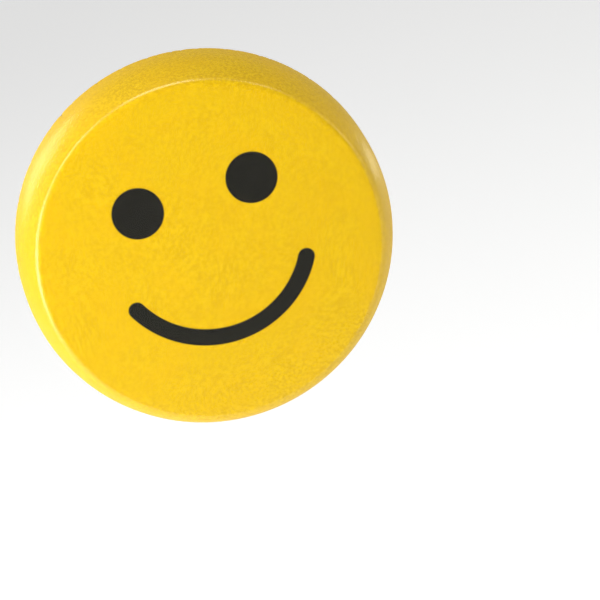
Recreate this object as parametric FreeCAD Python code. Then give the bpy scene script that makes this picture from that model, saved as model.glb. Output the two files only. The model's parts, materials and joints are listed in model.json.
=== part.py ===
import FreeCAD, Part
import math
import os

# A round button badge, worn upright. Millimetres.
# The origin is the centre of the rim that lies on the cloth. The picture faces -Y, the cloth is at +Y,
# and +Z is the picture's top. Seen from behind, the pin's coil is at the right (-X) and its tip at the left.

# ---- driving dimensions -------------------------------------------------------------------------------
BADGE_RADIUS = 12.7          # over the film, for a 25.4 mm badge
BADGE_DEPTH = 6.0            # from the crown of the face to the rim on the cloth
FILM_THICKNESS = 0.05
PAPER_THICKNESS = 0.1
SHELL_THICKNESS = 0.2
PLATE_THICKNESS = 0.22

# Front shell: a domed face, an eased shoulder, a bellied side and a hemmed rim with a ledge inside
SHOULDER_INSET = 1.4         # from the badge's radius in to where the face meets the shoulder
FACE_CROWN = 0.4
SHOULDER_RADIUS = 0.5
STRAIGHT_FROM_RIM = 1.8      # the side is upright over this last stretch
HEM_GAP = 0.08               # between the two walls of the hemmed rim
LEDGE_DEPTH = 1.0            # from the rim to the ledge's film
LEDGE_BEND = 0.15            # radius of the film's bend, where the plate stands
LEDGE_REACH = 0.6            # flat stretch of the ledge past its bend

# Back plate: a dished disc with a ridge, a groove and a rounded bead
RECESS_DEPTH = 1.5           # from the rim to the plate's flat
BEAD_RADIUS = 0.42
BEAD_BELOW_RIM = 0.06
BEAD_TURN = 152.0
GROOVE_WALL = 0.3
GROOVE_RADIUS = 0.12
GROOVE_TURN = 97.0
RIDGE_WALL = 0.08
RIDGE_INSIDE = 0.04          # radius of the ridge under the sheet
RIDGE_TURN = 77.0
SLOPE_TURN = 20.0            # the dished slope is steeper at its outer edge by this much
FLAT_EDGE_BEND = 0.15

# Spring pin: one wire, with a leg under the plate, a coil and an arm with a ground point
WIRE_RADIUS = 0.25
ARM_GAP = 0.6                # room for cloth between the arm and the plate's flat
ARM_ACROSS = 0.93            # arm's centre line above the badge's middle
COIL_INSET = 2.2             # from the edge of the plate's flat in to the coil's centre
COIL_RADIUS = 1.1            # to the wire's centre line
COIL_TURN_GAP = 0.19         # between one turn and the next
COIL_HALF_TURNS = 5
COIL_LEAN = 19.3             # the coil's axis leans out of the plate by this angle, in degrees
COIL_LEAD = 2.3              # length of the easy bend between the arm and the coil's first turn
COIL_SET = 0.08              # the bend brings the coil this far along its axis from the arm's line
ARM_START_GAP = 0.02
TIP_INSET = 0.9              # from the edge of the plate's flat in to the tip
TIP_RADIUS = 0.04
POINT_LENGTH = 3.1
LEG_RUN = 0.8                # straight wire at the coil before the leg climbs to the plate
LEG_CLIMB = 15.0             # degrees
LEG_BEND = 1.2
LEG_PAST_EARS = 1.1
LEG_CLEARANCE = 0.02         # around the leg, under the plate and in its ears

# Hole in the plate for the coil
HOLE_CLEARANCE = 1.42        # around the coil, in the plane of the plate
HOLE_SHIFT = 1.15            # the hole is this much nearer the pin's tip than the coil is

# Hook of the plate, over the point of the pin
HOOK_TO_TIP = 1.0            # from the hook's middle to the tip
HOOK_WIDTH = 1.0
HOOK_BEND = 0.15             # inner radius where the hook leaves the plate
HOOK_CURL_INSIDE = 0.2
HOOK_SIDE_CLEARANCE = 0.22   # from the point, where it enters the hook, to the stem
HOOK_TOP_CLEARANCE = 0.46    # from the same place up to the lip
LIP_SHORT = 0.05             # the lip stops this far short of the arm's centre line

# Ears of the plate, folded round the leg
EAR_TO_HOOK = 3.3
EAR_WIDTH = 1.2
EAR_WRAP = 150.0             # degrees of the wire that each ear goes round
EAR_SLOT = 0.95              # the window that each ear was cut from
EAR_SLOT_START = 0.25
SLOT_CLEARANCE = 0.08

CUT_MARGIN = 1.0             # a cutter runs this far past what it cuts
SKIN = FILM_THICKNESS + PAPER_THICKNESS
PLATE_BACK = -RECESS_DEPTH
PLATE_FRONT = PLATE_BACK - PLATE_THICKNESS
X_AXIS = FreeCAD.Vector(1, 0, 0)
Y_AXIS = FreeCAD.Vector(0, 1, 0)


# ---- bent sheet ---------------------------------------------------------------------------------------
def walk(start, heading, moves, offset):
    """Edges of a path of straight runs and tangent arcs, shifted to its left by offset.

    A move is ("line", length) or ("arc", radius, turn), with a left turn positive. Angles are in degrees.
    Returns the edges, the path's own end point and its last heading.
    """
    at = FreeCAD.Vector(*start, 0)
    edges = []
    for move in moves:
        angle = math.radians(heading)
        left = FreeCAD.Vector(-math.sin(angle), math.cos(angle), 0)
        if move[0] == "line":
            end = at + FreeCAD.Vector(math.cos(angle), math.sin(angle), 0) * move[1]
            edges.append(Part.makeLine(at + left * offset, end + left * offset))
            at = end
            continue
        _, radius, turn = move
        side = math.copysign(1, turn)
        centre = at + left * (side * radius)
        spoke = (at - centre) / radius * (radius - side * offset)
        middle = centre + turned(spoke, turn / 2)
        end = centre + turned(spoke, turn)
        edges.append(Part.Arc(centre + spoke, middle, end).toShape())
        at = centre + turned(at - centre, turn)
        heading += turn
    return edges, at, heading


def turned(vector, degrees):
    """A vector of the XY plane, turned left by an angle."""
    angle = math.radians(degrees)
    across = FreeCAD.Vector(-vector.y, vector.x, 0)
    return vector * math.cos(angle) + across * math.sin(angle)


def sheet_face(start, heading, moves, near, far):
    """A flat face between two copies of a path, shifted to its left by near and by far."""
    one, _, _ = walk(start, heading, moves, near)
    other, _, _ = walk(start, heading, moves, far)
    first_cap = Part.makeLine(other[0].firstVertex().Point, one[0].firstVertex().Point)
    last_cap = Part.makeLine(one[-1].lastVertex().Point, other[-1].lastVertex().Point)
    outline = Part.Wire(Part.__sortEdges__(one + [last_cap] + other + [first_cap]))
    return Part.Face(outline)


def spun(face):
    """A face drawn with its radius along X and its depth along Y, turned about the badge's axis."""
    return face.revolve(FreeCAD.Vector(0, 0, 0), Y_AXIS, 360)


def strip(face, centre_x, width):
    """A face drawn with Z along X, stood in the YZ plane and given a width along X."""
    stood = face.copy()
    stood.rotate(FreeCAD.Vector(0, 0, 0), Y_AXIS, -90)
    stood.translate(FreeCAD.Vector(centre_x - width / 2, 0, 0))
    return stood.extrude(X_AXIS * width)


# ---- front shell, paper and film ----------------------------------------------------------------------
def skin_path():
    """The shell's outer surface, from the middle of the face, round the rim and in to the ledge."""
    start = (0, -BADGE_DEPTH + SKIN)
    face_radius = BADGE_RADIUS - SHOULDER_INSET
    slope = 2 * math.atan(FACE_CROWN / face_radius)
    dome = face_radius / math.sin(slope)
    shoulder_r = face_radius - SHOULDER_RADIUS * math.sin(slope)
    shoulder_y = start[1] + FACE_CROWN + SHOULDER_RADIUS * math.cos(slope)
    side_r = BADGE_RADIUS - SKIN
    across = side_r - SHOULDER_RADIUS - shoulder_r
    along = -STRAIGHT_FROM_RIM - shoulder_y
    lean = 2 * math.atan(across / along)
    belly = SHOULDER_RADIUS + along / math.sin(lean)
    curl = SHELL_THICKNESS + HEM_GAP / 2
    slope, lean = math.degrees(slope), math.degrees(lean)
    return start, 0, [
        ("arc", dome, slope),
        ("arc", SHOULDER_RADIUS, 90 - lean - slope),
        ("arc", belly, lean),
        ("line", STRAIGHT_FROM_RIM - curl - SKIN),
        ("arc", curl, 180),
        ("line", LEDGE_DEPTH - LEDGE_BEND - SKIN - curl),
        ("arc", LEDGE_BEND + SKIN, -90),
        ("line", LEDGE_REACH),
    ]


def front_shell():
    return spun(sheet_face(*skin_path(), 0, SHELL_THICKNESS))


def printed_paper():
    return spun(sheet_face(*skin_path(), -PAPER_THICKNESS, 0))


def clear_film():
    return spun(sheet_face(*skin_path(), -SKIN, -PAPER_THICKNESS))


# ---- back plate ---------------------------------------------------------------------------------------
def plate_path():
    """The plate's back surface, over the bead and in to the middle. It starts at the foot of the skirt,
    which stands on the film where the ledge's bend begins."""
    skirt_r = BADGE_RADIUS - 2 * (SKIN + SHELL_THICKNESS) - HEM_GAP
    foot_depth = LEDGE_DEPTH - LEDGE_BEND
    start = (skirt_r, -foot_depth)
    moves = [
        ("line", foot_depth - BEAD_BELOW_RIM - BEAD_RADIUS),
        ("arc", BEAD_RADIUS, BEAD_TURN),
        ("line", GROOVE_WALL),
        ("arc", GROOVE_RADIUS, -GROOVE_TURN),
        ("line", RIDGE_WALL),
        ("arc", PLATE_THICKNESS + RIDGE_INSIDE, RIDGE_TURN),
    ]
    _, ridge_end, heading = walk(start, 90, moves, 0)
    steep = heading - 180
    shallow = steep - SLOPE_TURN
    edge_drop = FLAT_EDGE_BEND * (1 - math.cos(math.radians(shallow)))
    drop = ridge_end.y - PLATE_BACK - edge_drop
    chord = drop / math.sin(math.radians((steep + shallow) / 2))
    slope_radius = chord / (2 * math.sin(math.radians(SLOPE_TURN / 2)))
    moves += [("arc", slope_radius, -SLOPE_TURN), ("arc", FLAT_EDGE_BEND, -shallow)]
    _, flat_edge, _ = walk(start, 90, moves, 0)
    moves.append(("line", flat_edge.x))
    return start, 90, moves


# ---- places that follow from the sizes above ----------------------------------------------------------
ARM_Y = PLATE_BACK + ARM_GAP + WIRE_RADIUS
FLAT_RADIUS = walk(*plate_path(), 0)[0][-1].Length
TIP_X = FLAT_RADIUS - TIP_INSET
HOOK_X = TIP_X - HOOK_TO_TIP
EAR_X = HOOK_X - EAR_TO_HOOK
POINT_SLOPE = (WIRE_RADIUS - TIP_RADIUS) / POINT_LENGTH
POINT_IN_HOOK = TIP_RADIUS + (HOOK_TO_TIP + HOOK_WIDTH / 2) * POINT_SLOPE

COIL_CENTRE_X = COIL_INSET - FLAT_RADIUS
COIL_PITCH = 2 * WIRE_RADIUS + COIL_TURN_GAP
LEAN = math.radians(COIL_LEAN)
COIL_AXIS = FreeCAD.Vector(0, math.sin(LEAN), math.cos(LEAN))
COIL_OUTWARD = FreeCAD.Vector(0, math.cos(LEAN), -math.sin(LEAN))
COIL_TOP = FreeCAD.Vector(COIL_CENTRE_X, ARM_Y, ARM_ACROSS) - COIL_AXIS * COIL_SET
COIL_START = COIL_TOP - COIL_OUTWARD * COIL_RADIUS
COIL_END = COIL_START - COIL_AXIS * (COIL_PITCH * COIL_HALF_TURNS / 2)
COIL_MIDDLE = (COIL_START + COIL_END) / 2
LEG_START = COIL_END - COIL_OUTWARD * COIL_RADIUS
LEG_Y = PLATE_FRONT - LEG_CLEARANCE - WIRE_RADIUS
ARM_X = COIL_CENTRE_X + COIL_LEAD + ARM_START_GAP


def plate_cutter(low_x, high_x, low_z, high_z):
    """A block that cuts a window through the plate's flat."""
    depth = PLATE_THICKNESS + 2 * CUT_MARGIN
    corner = FreeCAD.Vector(low_x, PLATE_FRONT - CUT_MARGIN, low_z)
    return Part.makeBox(high_x - low_x, depth, high_z - low_z, corner)


def coil_hole():
    radius = COIL_RADIUS + WIRE_RADIUS + HOLE_CLEARANCE
    foot = FreeCAD.Vector(COIL_CENTRE_X + HOLE_SHIFT, PLATE_FRONT - CUT_MARGIN, COIL_MIDDLE.z)
    return Part.makeCylinder(radius, PLATE_THICKNESS + 2 * CUT_MARGIN, foot, Y_AXIS)


def hook_path():
    """The hook's outer surface, from the plate on the far side of the arm, up and over the arm."""
    stem_z = ARM_ACROSS + POINT_IN_HOOK + HOOK_SIDE_CLEARANCE + PLATE_THICKNESS
    curl_y = ARM_Y + POINT_IN_HOOK + HOOK_TOP_CLEARANCE - HOOK_CURL_INSIDE
    curl = HOOK_CURL_INSIDE + PLATE_THICKNESS
    lip = stem_z - curl - (ARM_ACROSS + LIP_SHORT)
    start = (stem_z + HOOK_BEND + PLATE_THICKNESS, PLATE_BACK)
    return start, 180, [
        ("line", PLATE_THICKNESS),
        ("arc", HOOK_BEND, -90),
        ("line", curl_y - PLATE_BACK - HOOK_BEND),
        ("arc", curl, 90),
        ("line", lip),
    ]


def hook_window():
    """The opening left by the hook's blank, as long as the blank was before it was bent up."""
    start, _, moves = hook_path()
    bend, stem, curl, lip = moves[1:]
    blank = math.pi / 2 * (bend[1] + curl[1]) + stem[1] + lip[1]
    top = start[0] - moves[0][1]
    side = HOOK_WIDTH / 2 + SLOT_CLEARANCE
    return plate_cutter(HOOK_X - side, HOOK_X + side, top - blank, top)


def ear(side):
    """A tab of the plate folded round one side of the wire's leg."""
    start = (LEG_START.z, PLATE_FRONT)
    wrap = ("arc", WIRE_RADIUS + LEG_CLEARANCE, -side * EAR_WRAP)
    near, far = sorted([0, side * PLATE_THICKNESS])
    heading = 0 if side > 0 else 180
    return strip(sheet_face(start, heading, [wrap], near, far), EAR_X, EAR_WIDTH)


def ear_window(side):
    near = LEG_START.z + side * EAR_SLOT_START
    far = near + side * EAR_SLOT
    half = EAR_WIDTH / 2 + SLOT_CLEARANCE
    return plate_cutter(EAR_X - half, EAR_X + half, min(near, far), max(near, far))


def back_plate():
    dished = spun(sheet_face(*plate_path(), 0, PLATE_THICKNESS))
    cutters = [coil_hole(), hook_window(), ear_window(1), ear_window(-1)]
    hook = strip(sheet_face(*hook_path(), 0, PLATE_THICKNESS), HOOK_X, HOOK_WIDTH)
    return dished.cut(cutters).fuse([hook, ear(1), ear(-1)]).removeSplitter()


# ---- spring pin ---------------------------------------------------------------------------------------
def wire_along(edges):
    """A round wire along a smooth path of lines and arcs: a cylinder or a stretch of torus for each."""
    lengths = []
    for edge in edges:
        start = edge.Vertexes[0].Point
        heading = edge.tangentAt(edge.FirstParameter)
        disc = Part.Face(Part.Wire(Part.makeCircle(WIRE_RADIUS, start, heading)))
        if isinstance(edge.Curve, Part.Line):
            lengths.append(disc.extrude(heading * edge.Length))
        else:
            turn = math.degrees(edge.Length / edge.Curve.Radius)
            lengths.append(disc.revolve(edge.Curve.Center, edge.Curve.Axis, turn))
    return lengths[0].fuse(lengths[1:]).removeSplitter()


def half_turn(start, side):
    """A half turn of the coil, tilted so that it ends half a pitch along. It starts and ends along X."""
    across = COIL_OUTWARD * (-2 * COIL_RADIUS * side) - COIL_AXIS * (COIL_PITCH / 2)
    middle = start + across / 2 - X_AXIS * (side * across.Length / 2)
    end = start + across
    return Part.Arc(start, middle, end).toShape(), end


def lead_bend():
    """An easy S-bend from the arm's line to the coil's first turn. It starts and ends along X."""
    start = COIL_TOP + X_AXIS * COIL_LEAD + COIL_AXIS * COIL_SET
    radius = (COIL_LEAD ** 2 + COIL_SET ** 2) / (4 * COIL_SET)
    half = math.acos(1 - COIL_SET / (2 * radius)) / 2
    bow = X_AXIS * (radius * math.sin(half)) + COIL_AXIS * (radius * (1 - math.cos(half)))
    middle = (start + COIL_TOP) / 2
    return [
        Part.Arc(start, start - bow, middle).toShape(),
        Part.Arc(middle, COIL_TOP + bow, COIL_TOP).toShape(),
    ]


def pin_coil():
    edges = lead_bend()
    at = COIL_TOP
    for n in range(COIL_HALF_TURNS):
        edge, at = half_turn(at, 1 if n % 2 == 0 else -1)
        edges.append(edge)
    return wire_along(edges)


def pin_anchor():
    """The leg that runs from the coil to the underside of the plate and on through the ears."""
    climb = math.radians(LEG_CLIMB)
    rise = LEG_Y - LEG_START.y
    bends = 2 * LEG_BEND * (1 - math.cos(climb))
    sloped = (rise - bends) / math.sin(climb)
    flat_x = LEG_START.x + LEG_RUN + 2 * LEG_BEND * math.sin(climb) + sloped * math.cos(climb)
    moves = [
        ("line", LEG_RUN),
        ("arc", LEG_BEND, LEG_CLIMB),
        ("line", sloped),
        ("arc", LEG_BEND, -LEG_CLIMB),
        ("line", EAR_X + EAR_WIDTH / 2 + LEG_PAST_EARS - flat_x),
    ]
    edges, _, _ = walk((LEG_START.x, LEG_START.y), 0, moves, 0)
    leg = wire_along(edges)
    leg.translate(FreeCAD.Vector(0, 0, LEG_START.z))
    return leg


def pin_arm():
    """The straight arm, with a slender ground point."""
    point_x = TIP_X - POINT_LENGTH
    start = FreeCAD.Vector(ARM_X, ARM_Y, ARM_ACROSS)
    shank = Part.makeCylinder(WIRE_RADIUS, point_x - ARM_X, start, X_AXIS)
    foot = FreeCAD.Vector(point_x, ARM_Y, ARM_ACROSS)
    point = Part.makeCone(WIRE_RADIUS, TIP_RADIUS, POINT_LENGTH, foot, X_AXIS)
    return shank.fuse(point)


NODES = {
    "clear_film": clear_film,
    "printed_paper": printed_paper,
    "front_shell": front_shell,
    "back_plate": back_plate,
    "pin_anchor": pin_anchor,
    "pin_coil": pin_coil,
    "pin_arm": pin_arm,
}

os.makedirs("parts", exist_ok=True)
for name, make in NODES.items():
    shape = make()
    print(name, shape.ShapeType, "valid", shape.isValid(), "solids", len(shape.Solids))
    shape.exportStep("parts/" + name + ".step")
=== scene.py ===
import json
import math

import bmesh
import bpy
import numpy as np
from mathutils import Matrix, Vector, noise

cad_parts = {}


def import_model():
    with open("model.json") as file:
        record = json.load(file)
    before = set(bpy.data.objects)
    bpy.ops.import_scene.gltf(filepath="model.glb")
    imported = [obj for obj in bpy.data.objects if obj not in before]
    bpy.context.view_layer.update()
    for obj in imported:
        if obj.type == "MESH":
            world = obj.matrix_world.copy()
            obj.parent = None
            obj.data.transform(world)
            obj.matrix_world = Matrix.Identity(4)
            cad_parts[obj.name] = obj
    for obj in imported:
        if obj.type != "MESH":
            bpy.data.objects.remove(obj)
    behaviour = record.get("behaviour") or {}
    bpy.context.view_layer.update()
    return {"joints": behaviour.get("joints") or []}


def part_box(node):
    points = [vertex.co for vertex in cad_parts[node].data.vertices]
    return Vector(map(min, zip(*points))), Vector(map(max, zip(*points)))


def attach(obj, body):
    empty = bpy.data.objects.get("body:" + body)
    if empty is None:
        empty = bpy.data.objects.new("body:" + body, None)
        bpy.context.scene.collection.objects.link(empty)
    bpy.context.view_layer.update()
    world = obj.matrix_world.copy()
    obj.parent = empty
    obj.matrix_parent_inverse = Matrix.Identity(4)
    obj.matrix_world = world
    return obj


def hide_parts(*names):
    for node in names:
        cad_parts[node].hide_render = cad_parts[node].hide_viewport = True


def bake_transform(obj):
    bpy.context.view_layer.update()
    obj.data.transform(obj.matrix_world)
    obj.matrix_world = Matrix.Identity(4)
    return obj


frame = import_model()
MM = 0.001


# ---- sizes, in millimetres ----------------------------------------------------------------------------
def cad_box(node):
    """The low and high corners of a CAD node's box."""
    low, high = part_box(node)
    return np.array(low) / MM, np.array(high) / MM


FILM_LOW, FILM_HIGH = cad_box("clear_film")
PAPER_HIGH = cad_box("printed_paper")[1]
SHELL_HIGH = cad_box("front_shell")[1]
PLATE_HIGH = cad_box("back_plate")[1]
LEG_LOW, LEG_HIGH = cad_box("pin_anchor")
ARM_LOW, ARM_HIGH = cad_box("pin_arm")

BADGE_RADIUS = FILM_HIGH[0]
BADGE_DEPTH = -FILM_LOW[1]
FILM = FILM_HIGH[0] - PAPER_HIGH[0]     # thickness of the film
SKIN = FILM_HIGH[0] - SHELL_HIGH[0]     # thickness of film and paper together
GLUE_LINE = 0.01            # keeps the film's inner surface off the paper
SHELL = 0.2                 # thickness of the shell's sheet
SHOULDER_INSET = 1.4        # from the badge's radius in to where the face meets the shoulder
FACE_CROWN = 0.4
SHOULDER_RADIUS = 0.5
STRAIGHT_FROM_RIM = 1.8     # the side is upright over this last stretch
HEM_GAP = 0.08
LEDGE_DEPTH = 1.0
LEDGE_BEND = 0.15
LEDGE_REACH = 0.6

PLATE = 0.22                # thickness of the plate's sheet
SKIRT_RADIUS = PLATE_HIGH[0]
RECESS_DEPTH = 1.5
BEAD_RADIUS = 0.42
BEAD_BELOW_RIM = 0.06
GROOVE_WALL = 0.3
GROOVE_RADIUS = 0.12
RIDGE_WALL = 0.08
RIDGE_INSIDE = 0.04
BEAD_TURN, GROOVE_TURN, RIDGE_TURN, SLOPE_TURN = 152, 97, 77, 20     # degrees
FLAT_EDGE_BEND = 0.15

SWING = next(j for j in frame["joints"] if j["name"] == "pin_swing")
HUB = np.array(SWING["pos_m"]) / MM
AXIS = np.array(SWING["axis"]) / np.linalg.norm(SWING["axis"])
OUTWARD = np.array([0, AXIS[2], -AXIS[1]])
WIRE_RADIUS = (ARM_HIGH[1] - ARM_LOW[1]) / 2
ARM_Y = (ARM_HIGH[1] + ARM_LOW[1]) / 2
ARM_Z = (ARM_HIGH[2] + ARM_LOW[2]) / 2
TIP_X = ARM_HIGH[0]
POINT_LENGTH = 3.1
TIP_RADIUS = 0.04
TIP_END_RADIUS = 0.004      # where the rounded tip is closed by a small flat
TAPER_BULGE = 0.25          # the point tapers on a curve, and not straight
COIL_SET = 0.08             # the coil starts this far along its axis from the arm's line
ARM_START_X = ARM_LOW[0]
ARM_AT_COIL = np.array([HUB[0], ARM_Y, ARM_Z])
COIL_RADIUS = (ARM_AT_COIL - HUB) @ OUTWARD
COIL_LENGTH = 2 * ((ARM_AT_COIL - HUB) @ AXIS - COIL_SET)
COIL_TURNS = 2.5
COIL_EASE = 0.25            # turns over which its pitch starts and stops
LEG_Z = (LEG_HIGH[2] + LEG_LOW[2]) / 2
LEG_END_X = LEG_HIGH[0]
LEG_TOP_Y = LEG_HIGH[1] - WIRE_RADIUS
LEG_RUN = 0.8
LEG_BEND = 1.2
LEG_CLIMB = math.radians(15)
LEG_CLEARANCE = 0.02
CUT_EDGE = 0.03             # bevel round the leg's cut end

HOLE_CLEARANCE = 1.42
HOLE_SHIFT = 1.15
HOOK_TO_TIP = 1.0
HOOK_X = TIP_X - HOOK_TO_TIP
HOOK_WIDTH = 1.0
HOOK_BEND = 0.15
HOOK_CURL_INSIDE = 0.2
HOOK_SIDE_CLEARANCE = 0.22
LIP_SHORT = 0.05
EAR_TO_HOOK = 3.3
EAR_X = HOOK_X - EAR_TO_HOOK
EAR_WIDTH = 1.2
EAR_WRAP = 150              # degrees round the leg
EAR_SLOT = 0.95
EAR_SLOT_START = 0.25
SLOT_CLEARANCE = 0.08
PLATE_EDGE = 0.05           # bevel on the plate's sharp edges
PLATE_CREASE = 35           # an edge is sharp from this many degrees
EDGE_SEGMENTS = 2
FLAT_BACK = -RECESS_DEPTH
FLAT_FRONT = FLAT_BACK - PLATE
HOLE_RADIUS = COIL_RADIUS + WIRE_RADIUS + HOLE_CLEARANCE
HOLE_CENTRE = (HUB[0] + HOLE_SHIFT, HUB[2])

AROUND = 720     # segments round the badge
ARC_STEP = 6.0              # degrees between points on a small arc
LINE_STEP = 0.6             # millimetres between points, at most
WIRE_SIDES = 28
POINT_RINGS = 4             # rings round the wire's rounded tip
TAPER_RINGS = 24
ARM_RINGS = 48
COIL_RINGS = 72             # in one turn


# ---- bent sheet ---------------------------------------------------------------------------------------
def walk(start, heading, moves, offset):
    """Points along a path of straight runs and tangent arcs, shifted to its left, and their left normals."""
    at = np.array(start, float)
    points, normals = [], []

    def add(place, left):
        points.append(place + left * offset)
        normals.append(left)

    for move in moves:
        angle = math.radians(heading)
        ahead = np.array([math.cos(angle), math.sin(angle)])
        left = np.array([-ahead[1], ahead[0]])
        if move[0] == "line":
            steps = max(1, int(move[1] / LINE_STEP))
            for n in range(steps):
                add(at + ahead * move[1] * n / steps, left)
            at = at + ahead * move[1]
            continue
        _, radius, turn = move
        side = math.copysign(1, turn)
        centre = at + left * side * radius
        steps = max(3, int(abs(turn) / ARC_STEP), int(radius * math.radians(abs(turn)) / LINE_STEP))
        for n in range(steps):
            normal = spin(left, turn * n / steps)
            add(centre - normal * side * radius, normal)
        heading += turn
        at = centre - spin(left, turn) * side * radius
    angle = math.radians(heading)
    add(at, np.array([-math.sin(angle), math.cos(angle)]))
    return np.array(points), np.array(normals), at, heading


def spin(vector, degrees):
    """A flat vector turned anticlockwise."""
    c, s = math.cos(math.radians(degrees)), math.sin(math.radians(degrees))
    return np.array([vector[0] * c - vector[1] * s, vector[0] * s + vector[1] * c])


def skin_path():
    """The shell's outer surface, from the middle of the face, round the rim and in to the ledge."""
    start = (0, -BADGE_DEPTH + SKIN)
    face_radius = BADGE_RADIUS - SHOULDER_INSET
    slope = 2 * math.atan(FACE_CROWN / face_radius)
    dome = face_radius / math.sin(slope)
    shoulder_r = face_radius - SHOULDER_RADIUS * math.sin(slope)
    shoulder_y = start[1] + FACE_CROWN + SHOULDER_RADIUS * math.cos(slope)
    across = BADGE_RADIUS - SKIN - SHOULDER_RADIUS - shoulder_r
    along = -STRAIGHT_FROM_RIM - shoulder_y
    lean = 2 * math.atan(across / along)
    belly = SHOULDER_RADIUS + along / math.sin(lean)
    curl = SHELL + HEM_GAP / 2
    slope, lean = math.degrees(slope), math.degrees(lean)
    return start, 0, [
        ("arc", dome, slope),
        ("arc", SHOULDER_RADIUS, 90 - lean - slope),
        ("arc", belly, lean),
        ("line", STRAIGHT_FROM_RIM - curl - SKIN),
        ("arc", curl, 180),
        ("line", LEDGE_DEPTH - LEDGE_BEND - SKIN - curl),
        ("arc", LEDGE_BEND + SKIN, -90),
        ("line", LEDGE_REACH),
    ]


def plate_path():
    """The plate's back surface, from the foot of its skirt to the edge of its flat."""
    foot_depth = LEDGE_DEPTH - LEDGE_BEND
    start = (SKIRT_RADIUS, -foot_depth)
    moves = [
        ("line", foot_depth - BEAD_BELOW_RIM - BEAD_RADIUS),
        ("arc", BEAD_RADIUS, BEAD_TURN),
        ("line", GROOVE_WALL),
        ("arc", GROOVE_RADIUS, -GROOVE_TURN),
        ("line", RIDGE_WALL),
        ("arc", PLATE + RIDGE_INSIDE, RIDGE_TURN),
    ]
    _, _, ridge_end, heading = walk(start, 90, moves, 0)
    steep = heading - 180
    shallow = steep - SLOPE_TURN
    edge_drop = FLAT_EDGE_BEND * (1 - math.cos(math.radians(shallow)))
    drop = ridge_end[1] - FLAT_BACK - edge_drop
    chord = drop / math.sin(math.radians((steep + shallow) / 2))
    slope_radius = chord / (2 * math.sin(math.radians(SLOPE_TURN / 2)))
    moves += [("arc", slope_radius, -SLOPE_TURN), ("arc", FLAT_EDGE_BEND, -shallow)]
    return start, 90, moves


FLAT_RADIUS = walk(*plate_path(), 0)[2][0]


# ---- meshes -------------------------------------------------------------------------------------------
def make_piece(name, vertices, faces, crease_degrees=40):
    """A mesh object from points in millimetres, smooth but for its sharp edges."""
    mesh = bpy.data.meshes.new(name)
    mesh.from_pydata((np.asarray(vertices) * MM).tolist(), [], faces)
    work = bmesh.new()
    work.from_mesh(mesh)
    bmesh.ops.recalc_face_normals(work, faces=work.faces)
    work.to_mesh(mesh)
    work.free()
    piece = bpy.data.objects.new(name, mesh)
    bpy.context.scene.collection.objects.link(piece)
    smooth(piece, crease_degrees)
    return piece


def smooth(piece, crease_degrees):
    """Smooth shading, with edges sharper than crease_degrees kept crisp."""
    piece.data.shade_smooth()
    piece.data.set_sharp_from_angle(angle=math.radians(crease_degrees))


def ring_of(profile, shift=None):
    """A profile of (radius, depth) points turned round the badge's axis. shift moves them, by angle."""
    angles = np.linspace(0, 2 * math.pi, AROUND, endpoint=False)
    radius = profile[None, :, 0]
    depth = profile[None, :, 1]
    if shift is not None:
        moved = shift(angles)
        radius = radius + moved[..., 0]
        depth = depth + moved[..., 1]
    c, s = np.cos(angles)[:, None], np.sin(angles)[:, None]
    return np.stack([radius * c, depth + 0 * c, radius * s], axis=-1)


def turned_sheet(name, path, near, far, shift_near=None, shift_far=None, capped=False):
    """A sheet between two offsets of a path, turned round the axis. A path that starts on the axis gets a
    pole. A capped one ends in two flat discs, and any other in a closed edge."""
    inner, _, _, _ = walk(*path, near)
    outer, _, _, _ = walk(*path, far)
    closed_at_start = inner[0][0] < 1e-6
    first = 1 if closed_at_start else 0
    rings = [ring_of(inner[first:], shift_near), ring_of(outer[first:], shift_far)]
    count = rings[0].shape[1]
    vertices = [rings[0].reshape(-1, 3), rings[1].reshape(-1, 3)]
    other = AROUND * count
    faces = []
    for n in range(AROUND):
        m = (n + 1) % AROUND
        for k in range(count - 1):
            faces.append((n * count + k, n * count + k + 1, m * count + k + 1, m * count + k))
            faces.append((other + n * count + k, other + m * count + k,
                          other + m * count + k + 1, other + n * count + k + 1))
        if not capped:
            last = count - 1
            faces.append((n * count + last, other + n * count + last,
                          other + m * count + last, m * count + last))
    if closed_at_start:
        poles = [[0, inner[0][1], 0], [0, outer[0][1], 0]]
        vertices.append(np.array(poles))
        pole = 2 * other
        for n in range(AROUND):
            m = (n + 1) % AROUND
            faces.append((pole, n * count, m * count))
            faces.append((pole + 1, other + m * count, other + n * count))
    else:
        for n in range(AROUND):
            m = (n + 1) % AROUND
            faces.append((n * count, m * count, other + m * count, other + n * count))
    if capped:
        faces.append([n * count + count - 1 for n in range(AROUND)])
        faces.append([other + n * count + count - 1 for n in range(AROUND)])
    return make_piece(name, np.concatenate(vertices), faces)


def block(low, high):
    """A box between two corners, in millimetres."""
    corners = [(x, y, z) for x in (low[0], high[0]) for y in (low[1], high[1]) for z in (low[2], high[2])]
    faces = [(0, 1, 3, 2), (4, 6, 7, 5), (0, 4, 5, 1), (2, 3, 7, 6), (0, 2, 6, 4), (1, 5, 7, 3)]
    return make_piece("cutter", corners, faces)


def drum(centre, radius, low_y, high_y, sides=192):
    """A round bar along Y, in millimetres."""
    angles = np.linspace(0, 2 * math.pi, sides, endpoint=False)
    points = [(centre[0] + radius * math.cos(a), y, centre[1] + radius * math.sin(a))
              for y in (low_y, high_y) for a in angles]
    faces = [(n, (n + 1) % sides, sides + (n + 1) % sides, sides + n) for n in range(sides)]
    faces += [list(range(sides)), list(range(sides, 2 * sides))]
    return make_piece("cutter", points, faces)


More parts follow.
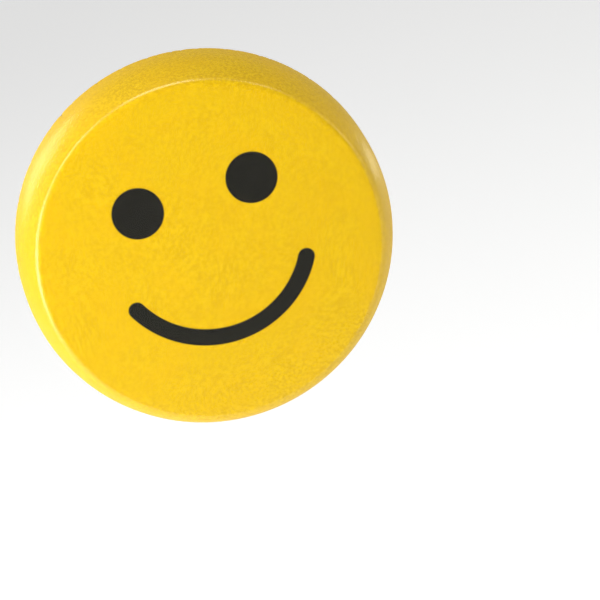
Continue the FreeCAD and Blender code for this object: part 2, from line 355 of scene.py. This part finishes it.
def folded_strip(start, heading, moves, near, far, centre_x, width):
    """A strip of sheet folded along a path in the YZ plane, with the path's first coordinate along Z."""
    one = walk(start, heading, moves, near)[0]
    other = walk(start, heading, moves, far)[0]
    outline = np.concatenate([one, other[::-1]])
    count = len(outline)
    points = [(centre_x + side * width / 2, y, z) for side in (-1, 1) for z, y in outline]
    faces = [(n, (n + 1) % count, count + (n + 1) % count, count + n) for n in range(count)]
    half = len(one)
    for base in (0, count):
        for n in range(half - 1):
            faces.append((base + n, base + n + 1, base + count - 2 - n, base + count - 1 - n))
    return make_piece("strip", points, faces)


def combine(piece, tools, operation):
    """Joins tools to a piece, or cuts them out of it, and removes them."""
    for tool in tools:
        modifier = piece.modifiers.new("combine", "BOOLEAN")
        modifier.operation = operation
        modifier.solver = "EXACT"
        modifier.object = tool
        bake(piece)
        bpy.data.objects.remove(tool)


def bake(piece):
    """Applies a piece's modifiers to its mesh."""
    graph = bpy.context.evaluated_depsgraph_get()
    mesh = bpy.data.meshes.new_from_object(piece.evaluated_get(graph))
    piece.modifiers.clear()
    piece.data = mesh


def ease_edges(piece, width, degrees):
    """A small bevel on every sharp edge."""
    modifier = piece.modifiers.new("edges", "BEVEL")
    modifier.width = width * MM
    modifier.segments = EDGE_SEGMENTS
    modifier.limit_method = "ANGLE"
    modifier.angle_limit = math.radians(degrees)
    modifier.use_clamp_overlap = True
    bake(piece)


# ---- film, paper and shell ----------------------------------------------------------------------------
CREASE_SEED = 11
CREASE_DEPTH = 0.05         # millimetres
CREASE_STRENGTH = (0.4, 1.0)            # share of that depth
CREASE_HALF_WIDTH = (0.0035, 0.0075)    # radians round the rim, as are the next two
CREASE_LEAN = (-0.015, 0.015)           # for every CREASE_LEAN_OVER of depth
CREASE_SPACING = (0.05, 0.17)
CREASE_LEAN_OVER = -0.5
CREASE_FROM, CREASE_FADE = -1.3, 0.6    # they start this deep, and are full this much further back
WAVER_FRONT_OF = -3.0       # the skin wavers only in front of this depth
WAVER_WIDTH = 0.4
COARSE_WAVER = (9, 3, 0.010)            # frequency, place in the noise, height in millimetres
FINE_WAVER = (24, 9, 0.004)


def rim_creases():
    """Where the skin is creased round the rim: (angle, half width, strength, lean), in radians."""
    draw = np.random.default_rng(CREASE_SEED)
    creases = []
    angle = draw.uniform(0, 0.1)
    while angle < 2 * math.pi - CREASE_SPACING[0]:
        half = draw.uniform(*CREASE_HALF_WIDTH)
        creases.append((angle, half, draw.uniform(*CREASE_STRENGTH), draw.uniform(*CREASE_LEAN)))
        angle += draw.uniform(*CREASE_SPACING)
    return creases


CREASES = rim_creases()


def crease_at(angles, points):
    """How deeply each point of a turned surface is creased, from 0 to 1. Only the back of the rim is."""
    on_back = np.clip((points[:, 1] - CREASE_FROM) / CREASE_FADE, 0, 1)
    fade = on_back * on_back * (3 - 2 * on_back)
    creased = np.zeros((len(angles), len(points)))
    for place, half, strength, lean in CREASES:
        leant = lean * (points[None, :, 1] / CREASE_LEAN_OVER)
        away = (angles[:, None] - place - leant + math.pi) % (2 * math.pi)
        creased += strength * np.exp(-((away - math.pi) / half) ** 2)
    return np.minimum(creased, 1) * fade


def noise_round(angles, frequency, level):
    """Smooth noise round the badge, one value for each angle."""
    return np.array([noise.noise(Vector((math.cos(a) * frequency, math.sin(a) * frequency, level)))
                     for a in angles])


def shoulder_waver(angles, points):
    """How the skin wavers round the shoulder, in millimetres."""
    on_face = points[:, 1] < WAVER_FRONT_OF
    middle = BADGE_RADIUS - SHOULDER_INSET + SHOULDER_RADIUS / 2
    near = np.exp(-((points[:, 0] - middle) / WAVER_WIDTH) ** 2) * on_face
    coarse, fine = [noise_round(angles, frequency, level) * height
                    for frequency, level, height in (COARSE_WAVER, FINE_WAVER)]
    return (coarse + fine)[:, None] * near


def skin_shift(path, near):
    """A function that gives how the skin's surface is moved, by its creases and its waver."""
    points, normals, _, _ = walk(*path, near)
    points, normals = points[1:], normals[1:]

    def shift(angles):
        move = crease_at(angles, points) * CREASE_DEPTH + shoulder_waver(angles, points)
        return move[..., None] * normals[None]

    return shift


def film():
    """The clear film over the paper, from the face round the rim."""
    path = skin_path()
    outside, inside = -SKIN, -(SKIN - FILM + GLUE_LINE)
    piece = turned_sheet("film", path, outside, inside, skin_shift(path, outside), skin_shift(path, inside))
    piece.data.materials.append(film_material())
    return piece


def paper():
    """The printed paper between film and shell."""
    path = skin_path()
    outside = -(SKIN - FILM)
    piece = turned_sheet("paper", path, outside, 0, skin_shift(path, outside), None)
    mark_creases(piece, walk(*path, outside)[0][1:])
    piece.data.materials.append(paper_material())
    return piece


def mark_creases(piece, points):
    """Gives the paper's outer surface, which comes first in its mesh, an attribute for its creases."""
    angles = np.linspace(0, 2 * math.pi, AROUND, endpoint=False)
    creased = crease_at(angles, points).ravel()
    values = np.zeros(len(piece.data.vertices), dtype=np.float32)
    values[:len(creased)] = creased
    piece.data.attributes.new("crease", "FLOAT", "POINT").data.foreach_set("value", values)


def shell():
    """The tinplate front shell."""
    piece = turned_sheet("shell", skin_path(), 0.0, SHELL)
    piece.data.materials.append(tin_material("shell_tin", None))
    return piece


# ---- back plate ---------------------------------------------------------------------------------------
def hook():
    """The hook for the wire's point, and the window that it was cut from."""
    point_in_hook = TIP_RADIUS + (HOOK_TO_TIP + HOOK_WIDTH / 2) * (WIRE_RADIUS - TIP_RADIUS) / POINT_LENGTH
    stem_z = ARM_Z + point_in_hook + HOOK_SIDE_CLEARANCE + PLATE
    curl = HOOK_CURL_INSIDE + PLATE
    curl_y = PLATE_HIGH[1] - curl
    lip = stem_z - curl - (ARM_Z + LIP_SHORT)
    start = (stem_z + HOOK_BEND + PLATE, FLAT_BACK)
    moves = [
        ("line", PLATE),
        ("arc", HOOK_BEND, -90),
        ("line", curl_y - FLAT_BACK - HOOK_BEND),
        ("arc", curl, 90),
        ("line", lip),
    ]
    strip = folded_strip(start, 180, moves, 0, PLATE, HOOK_X, HOOK_WIDTH)
    top = start[0] - PLATE
    blank = math.pi / 2 * (HOOK_BEND + curl) + moves[2][1] + lip
    side = HOOK_WIDTH / 2 + SLOT_CLEARANCE
    window = block((HOOK_X - side, FLAT_FRONT - 1, top - blank), (HOOK_X + side, FLAT_BACK + 1, top))
    return strip, window


def ear(side):
    """An ear that wraps the leg from one side, 1 or -1, and the window that it was cut from."""
    wrap = ("arc", WIRE_RADIUS + LEG_CLEARANCE, -side * EAR_WRAP)
    near, far = sorted([0, side * PLATE])
    strip = folded_strip((LEG_Z, FLAT_FRONT), 0 if side > 0 else 180, [wrap], near, far, EAR_X, EAR_WIDTH)
    ends = sorted([LEG_Z + side * EAR_SLOT_START, LEG_Z + side * (EAR_SLOT_START + EAR_SLOT)])
    half = EAR_WIDTH / 2 + SLOT_CLEARANCE
    window = block((EAR_X - half, FLAT_FRONT - 1, ends[0]), (EAR_X + half, FLAT_BACK + 1, ends[1]))
    return strip, window


def plate():
    """The tinplate back plate, with its coil hole, hook and ears."""
    piece = turned_sheet("plate", plate_path(), 0, PLATE, capped=True)
    folded = [hook(), ear(1), ear(-1)]
    windows = [window for _, window in folded]
    coil_hole = drum(HOLE_CENTRE, HOLE_RADIUS, FLAT_FRONT - 1, FLAT_BACK + 1)
    combine(piece, [coil_hole] + windows, "DIFFERENCE")
    combine(piece, [strip for strip, _ in folded], "UNION")
    ease_edges(piece, PLATE_EDGE, PLATE_CREASE)
    smooth(piece, PLATE_CREASE)
    piece.data.materials.clear()
    piece.data.materials.append(tin_material("plate_tin", FLAT_RADIUS))
    return piece


# ---- spring pin ---------------------------------------------------------------------------------------
def coil_share(turn):
    """How far along its axis the coil has got after so many turns. It starts and ends square to the axis."""
    ramp = COIL_EASE
    speed = 1 / (COIL_TURNS - ramp)
    if turn < ramp:
        return speed * turn * turn / (2 * ramp)
    if turn > COIL_TURNS - ramp:
        return 1 - speed * (COIL_TURNS - turn) ** 2 / (2 * ramp)
    return speed * (turn - ramp / 2)


def coil_point(turn):
    """A point on the coil's centre line after so many turns from the arm."""
    angle = 2 * math.pi * turn
    middle = HUB + AXIS * COIL_LENGTH * (0.5 - coil_share(turn))
    return middle + (OUTWARD * math.cos(angle) - np.array([1, 0, 0]) * math.sin(angle)) * COIL_RADIUS


def point_rings():
    """Centres and radii of the rounded tip and the taper behind it."""
    centres, radii = [], []
    for n in range(POINT_RINGS + 1):
        angle = math.pi / 2 * (1 - n / POINT_RINGS)
        centres.append(np.array([TIP_X - TIP_RADIUS * (1 - math.sin(angle)), ARM_Y, ARM_Z]))
        radii.append(max(TIP_RADIUS * math.cos(angle), TIP_END_RADIUS))
    for n in range(1, TAPER_RINGS + 1):
        share = n / TAPER_RINGS
        x = TIP_X - TIP_RADIUS - (POINT_LENGTH - TIP_RADIUS) * share
        grown = (1 + TAPER_BULGE) * share - TAPER_BULGE * share ** 3
        centres.append(np.array([x, ARM_Y, ARM_Z]))
        radii.append(TIP_RADIUS + (WIRE_RADIUS - TIP_RADIUS) * grown if share < 1 else WIRE_RADIUS)
    return centres, radii


def arm_points():
    """Centre line from the taper to the coil, with the easy bend that sets the coil aside."""
    points = []
    for x in np.linspace(TIP_X - POINT_LENGTH, HUB[0], ARM_RINGS)[1:-1]:
        bent = np.clip((ARM_START_X - x) / (ARM_START_X - HUB[0]), 0, 1)
        aside = AXIS * COIL_SET * bent * bent * (3 - 2 * bent)
        points.append(np.array([x, ARM_Y, ARM_Z]) - aside)
    return points


def coil_points():
    """Centre line of the coil."""
    count = int(COIL_TURNS * COIL_RINGS)
    return [coil_point(COIL_TURNS * n / count) for n in range(count + 1)]


def leg_points():
    """Centre line of the leg, from the coil to its cut end."""
    start = coil_point(COIL_TURNS)
    rise = LEG_TOP_Y - start[1]
    sloped = (rise - 2 * LEG_BEND * (1 - math.cos(LEG_CLIMB))) / math.sin(LEG_CLIMB)
    flat_x = start[0] + LEG_RUN + 2 * LEG_BEND * math.sin(LEG_CLIMB) + sloped * math.cos(LEG_CLIMB)
    climb = math.degrees(LEG_CLIMB)
    moves = [("line", LEG_RUN), ("arc", LEG_BEND, climb), ("line", sloped), ("arc", LEG_BEND, -climb),
             ("line", LEG_END_X - flat_x)]
    flat, _, _, _ = walk(start[:2], 0, moves, 0)
    return [np.array([x, y, LEG_Z]) for x, y in flat[1:]]


def wire():
    """The whole pin, one piece of wire: point, arm, coil and leg."""
    centres, radii = point_rings()
    even = arm_points() + coil_points() + leg_points()
    centres += even
    radii += [WIRE_RADIUS] * len(even)
    back = centres[-2] - centres[-1]
    centres.insert(-1, centres[-1] + back / np.linalg.norm(back) * CUT_EDGE)
    radii.append(WIRE_RADIUS - CUT_EDGE)
    piece = tube("wire", np.array(centres), radii)
    piece.data.materials.append(wire_material())
    return piece


def tube(name, centres, radii):
    """A round bar along a centre line, with its own radius at each point."""
    ahead = np.gradient(centres, axis=0)
    ahead /= np.linalg.norm(ahead, axis=1)[:, None]
    side = np.cross(ahead[0], [0, 0, 1.0])
    vertices = []
    for centre, radius, direction in zip(centres, radii, ahead):
        side = side - direction * (side @ direction)
        side /= np.linalg.norm(side)
        up = np.cross(direction, side)
        for n in range(WIRE_SIDES):
            angle = 2 * math.pi * n / WIRE_SIDES
            vertices.append(centre + radius * (side * math.cos(angle) + up * math.sin(angle)))
    faces = []
    for k in range(len(centres) - 1):
        for n in range(WIRE_SIDES):
            m = (n + 1) % WIRE_SIDES
            here, there = k * WIRE_SIDES, (k + 1) * WIRE_SIDES
            faces.append((here + n, here + m, there + m, there + n))
    faces.append(list(range(WIRE_SIDES)))
    faces.append([(len(centres) - 1) * WIRE_SIDES + n for n in range(WIRE_SIDES)])
    return make_piece(name, vertices, faces, 50)


# ---- materials ----------------------------------------------------------------------------------------
class Nodes:
    """Short calls for building a material's node tree."""

    def __init__(self, name):
        self.material = bpy.data.materials.new(name)
        self.material.use_nodes = True
        self.tree = self.material.node_tree
        self.tree.nodes.clear()
        self.output = self.add("ShaderNodeOutputMaterial")

    def add(self, kind, **inputs):
        """A new node, with its inputs set or linked by name."""
        node = self.tree.nodes.new(kind)
        for key, value in inputs.items():
            self.feed(node.inputs[key.replace("_", " ")], value)
        return node

    def feed(self, socket, value):
        """Links a socket to a node's output, or sets its value."""
        if isinstance(value, bpy.types.NodeSocket):
            self.tree.links.new(value, socket)
        else:
            socket.default_value = value

    def math(self, operation, first, second=0.0, third=0.0):
        node = self.tree.nodes.new("ShaderNodeMath")
        node.operation = operation
        for socket, value in zip(node.inputs, (first, second, third)):
            self.feed(socket, value)
        return node.outputs[0]

    def vector(self, operation, first, second=(0, 0, 0)):
        node = self.tree.nodes.new("ShaderNodeVectorMath")
        node.operation = operation
        self.feed(node.inputs[0], first)
        self.feed(node.inputs[1], second)
        return node.outputs["Value"] if operation in ("LENGTH", "DISTANCE") else node.outputs["Vector"]

    def ramp(self, value, low, high, start=0.0, end=1.0):
        """A smooth step of value, from start at low to end at high."""
        node = self.tree.nodes.new("ShaderNodeMapRange")
        node.interpolation_type = "SMOOTHSTEP"
        for key, number in zip(("Value", "From Min", "From Max", "To Min", "To Max"),
                               (value, low, high, start, end)):
            self.feed(node.inputs[key], number)
        return node.outputs["Result"]

    def noise(self, place, scale, detail=2.0, roughness=0.5):
        node = self.add("ShaderNodeTexNoise", Vector=place, Scale=scale, Detail=detail, Roughness=roughness)
        return node.outputs["Fac"]

    def mix(self, share, first, second):
        node = self.tree.nodes.new("ShaderNodeMix")
        node.data_type = "RGBA"
        self.feed(node.inputs["Factor"], share)
        self.feed(node.inputs["A"], first)
        self.feed(node.inputs["B"], second)
        return node.outputs["Result"]

    def place(self):
        """Position on the piece at rest, in millimetres."""
        where = self.tree.nodes.new("ShaderNodeTexCoord").outputs["Object"]
        return self.vector("MULTIPLY", where, (1 / MM, 1 / MM, 1 / MM))

    def split(self, vector):
        return self.add("ShaderNodeSeparateXYZ", Vector=vector).outputs

    def join(self, x, y, z):
        return self.add("ShaderNodeCombineXYZ", X=x, Y=y, Z=z).outputs[0]

    def bump(self, height, distance, strength=1.0):
        node = self.add("ShaderNodeBump", Height=height, Strength=strength, Distance=distance * MM)
        return node.outputs[0]

    def finish(self, shader):
        """Links the shader to the output and gives the material."""
        self.tree.links.new(shader, self.output.inputs["Surface"])
        return self.material


# colours and lengths of the materials, with lengths in millimetres
YELLOW_DARK, YELLOW_LIGHT = (0.60, 0.355, 0.0, 1), (0.74, 0.485, 0.002, 1)
YELLOW_CLOUD = (0.72, 0.42, 0.0, 1)
INK_DARK, INK_LIGHT = (0.005, 0.005, 0.004, 1), (0.011, 0.010, 0.008, 1)
# painted shade: the colour that the paper is darkened towards in its rim creases
CREASE_SHADE_COLOUR = (0.16, 0.07, 0.005, 1)
FILM_GLOSS = (1, 0.98, 0.7, 1)
CLEAR = (1, 1, 1, 1)
TIN_DARK, TIN_LIGHT = (0.50, 0.50, 0.47, 1), (0.68, 0.68, 0.65, 1)
GRAIN_DARK, GRAIN_LIGHT = (0.04, 0.039, 0.034, 1), (0.36, 0.35, 0.315, 1)
SHELL_DARK, SHELL_LIGHT = (0.24, 0.22, 0.19, 1), (0.60, 0.56, 0.50, 1)
WIRE_DARK, WIRE_LIGHT = (0.70, 0.69, 0.65, 1), (0.86, 0.85, 0.82, 1)
PAPER_BUMP, FILM_BUMP, TIN_BUMP, WIRE_BUMP = 0.004, 0.018, 0.035, 0.004
FACE_FROM, FACE_FULL = -3.9, -4.2       # depths between which the picture's ink fades in
GLOSS_HEAD_ON, GLOSS_ASLANT = 0.010, 0.060
SHELL_GRAIN = 0.75          # how much of the hidden shell's tin is grained
GRAIN_OUTER, GRAIN_INNER = 0.06, 0.16   # the grain fades between these, inside the edge of the flat
GRAIN_ROUGHNESS = 0.27      # more than the bright tin's
BRIGHT_BUMP = 0.08          # share of the grain's bump on bright tin

EYE_ACROSS = 3.95           # from the face's middle
EYE_UP = 4.1
EYE_RADIUS = 1.75
MOUTH_RADIUS = 6.7
MOUTH_UP = 0.9
MOUTH_HALF_ANGLE = 62.0
MOUTH_WIDTH = 1.15
EDGE_BLUR = 0.05


def pictogram(n, place):
    """Where the smiling pictogram is inked: two round dots and an arc with round ends."""
    x, _, z = n.split(place)
    aside = n.math("ABSOLUTE", x)
    flat = n.join(aside, 0.0, z)
    eye = n.math("SUBTRACT", n.vector("DISTANCE", flat, (EYE_ACROSS, 0, EYE_UP)), EYE_RADIUS)
    down = math.radians(MOUTH_HALF_ANGLE)
    end = (MOUTH_RADIUS * math.sin(down), 0, MOUTH_UP - MOUTH_RADIUS * math.cos(down))
    tip = n.math("SUBTRACT", n.vector("DISTANCE", flat, end), MOUTH_WIDTH / 2)
    reach = n.vector("DISTANCE", flat, (0, 0, MOUTH_UP))
    band = n.math("SUBTRACT", n.math("ABSOLUTE", n.math("SUBTRACT", reach, MOUTH_RADIUS)), MOUTH_WIDTH / 2)
    below = n.math("SUBTRACT", n.math("MULTIPLY", aside, math.cos(down)),
                   n.math("MULTIPLY", n.math("SUBTRACT", MOUTH_UP, z), math.sin(down)))
    arc = n.math("MAXIMUM", band, below)
    nearest = n.math("MINIMUM", eye, n.math("MINIMUM", tip, arc))
    return n.ramp(nearest, -EDGE_BLUR, EDGE_BLUR, 1.0, 0.0)


def paper_material():
    """Yellow printed paper with the pictogram in black, and painted shade darkening it along its creases."""
    n = Nodes("paper")
    place = n.place()
    depth = n.split(place)[1]
    on_face = n.ramp(depth, FACE_FULL, FACE_FROM, 1.0, 0.0)
    grain = n.noise(place, 5.0, 4.0, 0.8)
    cloud = n.noise(place, 0.35, 2.0, 0.5)
    yellow = n.mix(n.ramp(grain, 0.4, 0.6), YELLOW_DARK, YELLOW_LIGHT)
    yellow = n.mix(n.ramp(cloud, 0.35, 0.7, 0.0, 0.35), yellow, YELLOW_CLOUD)
    ink = n.math("MULTIPLY", pictogram(n, place), on_face)
    black = n.mix(n.ramp(grain, 0.35, 0.7), INK_DARK, INK_LIGHT)
    colour = n.mix(ink, yellow, black)
    creased = n.add("ShaderNodeAttribute")
    creased.attribute_name = "crease"
    # painted shade: the paper darkens along its creases, more where they are deeper
    line = n.ramp(creased.outputs["Fac"], 0.35, 0.85, 0.0, 0.85)
    colour = n.mix(line, colour, CREASE_SHADE_COLOUR)
    shader = n.add("ShaderNodeBsdfPrincipled", Base_Color=colour, Roughness=0.6, Specular_IOR_Level=0.1,
                   Normal=n.bump(grain, PAPER_BUMP, 0.5))
    return n.finish(shader.outputs[0])


def film_material():
    """Clear glossy polyester: the paper shows through it, and its outer surface reflects."""
    n = Nodes("film")
    place = n.place()
    ripple = n.noise(place, 2.2, 2.0, 0.5)
    fine = n.noise(place, 6.5, 2.0, 0.6)
    height = n.math("ADD", ripple, n.math("MULTIPLY", fine, 0.7))
    normal = n.bump(height, FILM_BUMP, 0.8)
    gloss = n.add("ShaderNodeBsdfGlossy", Color=FILM_GLOSS, Roughness=0.26, Normal=normal)
    clear = n.add("ShaderNodeBsdfTransparent", Color=CLEAR)
    facing = n.add("ShaderNodeLayerWeight", Blend=0.5).outputs["Facing"]
    shine = n.ramp(facing, 0.05, 0.14, GLOSS_HEAD_ON, GLOSS_ASLANT)
    inside = n.tree.nodes.new("ShaderNodeNewGeometry").outputs["Backfacing"]
    mix = n.add("ShaderNodeMixShader")
    n.feed(mix.inputs[0], n.math("MULTIPLY", shine, n.math("SUBTRACT", 1.0, inside)))
    n.feed(mix.inputs[1], clear.outputs[0])
    n.feed(mix.inputs[2], gloss.outputs[0])
    return n.finish(mix.outputs[0])


def tin_material(name, flat_radius):
    """Bright tinplate. Inside flat_radius it has the dull speckled grain of the plate's flat, and with no
    flat_radius an even share of grain all over."""
    n = Nodes(name)
    place = n.place()
    grain = n.noise(place, 8.0, 2.0, 0.75)
    cloud = n.noise(place, 0.45, 3.0, 0.6)
    speckle = n.ramp(grain, 0.38, 0.62)
    bright = n.mix(n.ramp(cloud, 0.3, 0.7), TIN_DARK, TIN_LIGHT)
    if flat_radius is None:
        on_flat = SHELL_GRAIN
        dull = n.mix(speckle, SHELL_DARK, SHELL_LIGHT)
    else:
        x, _, z = n.split(place)
        reach = n.vector("LENGTH", n.join(x, 0.0, z))
        on_flat = n.ramp(reach, flat_radius - GRAIN_INNER, flat_radius - GRAIN_OUTER, 1.0, 0.0)
        dull = n.mix(speckle, GRAIN_DARK, GRAIN_LIGHT)
    colour = n.mix(on_flat, bright, dull)
    rough = n.math("ADD", n.math("MULTIPLY", on_flat, GRAIN_ROUGHNESS), n.ramp(grain, 0.3, 0.7, 0.08, 0.16))
    share = n.math("ADD", n.math("MULTIPLY", on_flat, 1 - BRIGHT_BUMP), BRIGHT_BUMP)
    height = n.math("MULTIPLY", grain, share)
    shader = n.add("ShaderNodeBsdfPrincipled", Base_Color=colour, Metallic=1.0, Roughness=rough,
                   Normal=n.bump(height, TIN_BUMP, 0.8))
    return n.finish(shader.outputs[0])


def wire_material():
    """Bright drawn spring wire, streaked along its length."""
    n = Nodes("wire")
    place = n.place()
    streak = n.noise(n.vector("MULTIPLY", place, (0.6, 6.0, 6.0)), 1.5, 3.0, 0.6)
    colour = n.mix(streak, WIRE_DARK, WIRE_LIGHT)
    shader = n.add("ShaderNodeBsdfPrincipled", Base_Color=colour, Metallic=1.0,
                   Roughness=n.ramp(streak, 0.2, 0.8, 0.08, 0.17), Normal=n.bump(streak, WIRE_BUMP, 0.5))
    return n.finish(shader.outputs[0])


# ---- the badge ----------------------------------------------------------------------------------------
def mount(piece, node):
    """Fixes a piece to the badge's body, in the place of a CAD node."""
    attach(piece, "badge_body")
    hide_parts(node)


mount(film(), "clear_film")
mount(paper(), "printed_paper")
mount(shell(), "front_shell")
mount(plate(), "back_plate")

pin = wire()
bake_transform(pin)
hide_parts("pin_arm", "pin_coil", "pin_anchor")


# ---- stage --------------------------------------------------------------------------------------------
FLOOR_SIZE, FLOOR_DROP = 3000.0, 90.0   # half its width, and its depth below the badge's middle
FLOOR_COLOUR, FLOOR_GLOW = (0.85, 0.85, 0.84, 1), 0.35
SKY_LOW, SKY_HIGH = (0.1, 0.6), (0.7, 0.3)      # height and brightness where it starts and stops dimming
SENSOR = 36.0
ELEVATION, AZIMUTH, ROLL = math.radians(17.0), math.radians(-3.0), math.radians(17.0)
DISTANCE, VIEW_WIDTH = 350.0, 40.1
AIM_RIGHT, AIM_UP = 6.2, -3.9           # the badge sits up and left of the picture's middle


def floor():
    """A wide pale floor, well below the badge."""
    size, drop = FLOOR_SIZE, FLOOR_DROP
    corners = [(-size, -size, -drop), (size, -size, -drop), (size, size, -drop), (-size, size, -drop)]
    piece = make_piece("floor", corners, [(0, 1, 2, 3)])
    n = Nodes("floor")
    shader = n.add("ShaderNodeBsdfPrincipled", Base_Color=FLOOR_COLOUR, Roughness=0.9,
                   Emission_Color=CLEAR, Emission_Strength=FLOOR_GLOW)
    piece.data.materials.append(n.finish(shader.outputs[0]))


def softbox(name, direction, size, brightness, distance=330.0):
    """A rectangular area light aimed at the badge. Its brightness doesn't depend on its size."""
    lamp = bpy.data.lights.new(name, "AREA")
    lamp.shape = "RECTANGLE"
    lamp.size, lamp.size_y = size[0] * MM, size[1] * MM
    lamp.energy = math.pi * lamp.size * lamp.size_y * brightness
    piece = bpy.data.objects.new(name, lamp)
    towards = Vector(direction).normalized()
    piece.location = towards * distance * MM
    piece.rotation_euler = (-towards).to_track_quat("-Z", "Y").to_euler()
    piece.visible_camera = False
    bpy.context.scene.collection.objects.link(piece)


def world():
    """White round the horizon, dimmer overhead."""
    sky = bpy.data.worlds.new("studio")
    sky.use_nodes = True
    tree = sky.node_tree
    back = tree.nodes["Background"]
    where = tree.nodes.new("ShaderNodeTexCoord")
    split = tree.nodes.new("ShaderNodeSeparateXYZ")
    height = tree.nodes.new("ShaderNodeMapRange")
    height.interpolation_type = "SMOOTHSTEP"
    for end, (level, brightness) in (("Min", SKY_LOW), ("Max", SKY_HIGH)):
        height.inputs["From " + end].default_value = level
        height.inputs["To " + end].default_value = brightness
    tree.links.new(where.outputs["Generated"], split.inputs[0])
    tree.links.new(split.outputs["Z"], height.inputs["Value"])
    tree.links.new(height.outputs["Result"], back.inputs["Strength"])
    back.inputs["Color"].default_value = CLEAR
    bpy.context.scene.world = sky


def camera():
    """Looks down on the face a little, rolled as the badge is held, through a long lens."""
    back = Vector((math.sin(AZIMUTH) * math.cos(ELEVATION), -math.cos(AZIMUTH) * math.cos(ELEVATION),
                   math.sin(ELEVATION)))
    level_right = Vector((0, 0, 1)).cross(back).normalized()
    level_up = back.cross(level_right)
    right = level_right * math.cos(ROLL) - level_up * math.sin(ROLL)
    up = level_right * math.sin(ROLL) + level_up * math.cos(ROLL)
    middle = Vector((0, -BADGE_DEPTH / 2, 0))
    place = middle + back * DISTANCE + right * AIM_RIGHT + up * AIM_UP
    lens = bpy.data.cameras.new("camera")
    lens.sensor_width = SENSOR
    lens.lens = SENSOR * DISTANCE / VIEW_WIDTH
    lens.clip_start, lens.clip_end = 0.005, 20
    piece = bpy.data.objects.new("camera", lens)
    piece.matrix_world = Matrix.Translation(place * MM) @ Matrix((right, up, back)).transposed().to_4x4()
    bpy.context.scene.collection.objects.link(piece)
    bpy.context.scene.camera = piece


bpy.context.scene.view_settings.view_transform = "Standard"     # the default one washes out the yellow
floor()
world()
# name, direction from the badge, width and height, brightness
softbox("left", (-0.85, -0.5, 0.1), (170, 200), 4.4)
softbox("far_left", (-0.97, -0.2, 0.12), (100, 200), 4.4)
softbox("upper_left", (-0.6, -0.4, 0.66), (130, 160), 5)
softbox("upper", (0.0, -0.3, 0.95), (170, 150), 6)
softbox("upper_right", (0.6, -0.4, 0.65), (50, 60), 7)
softbox("right", (0.9, -0.4, 0.1), (30, 90), 7)
softbox("lower_left", (-0.78, -0.4, -0.22), (70, 70), 6, 200.0)
softbox("behind", (-0.55, 0.8, 0.3), (120, 150), 4)
softbox("behind_low", (0.7, 0.7, -0.15), (90, 40), 6)
camera()
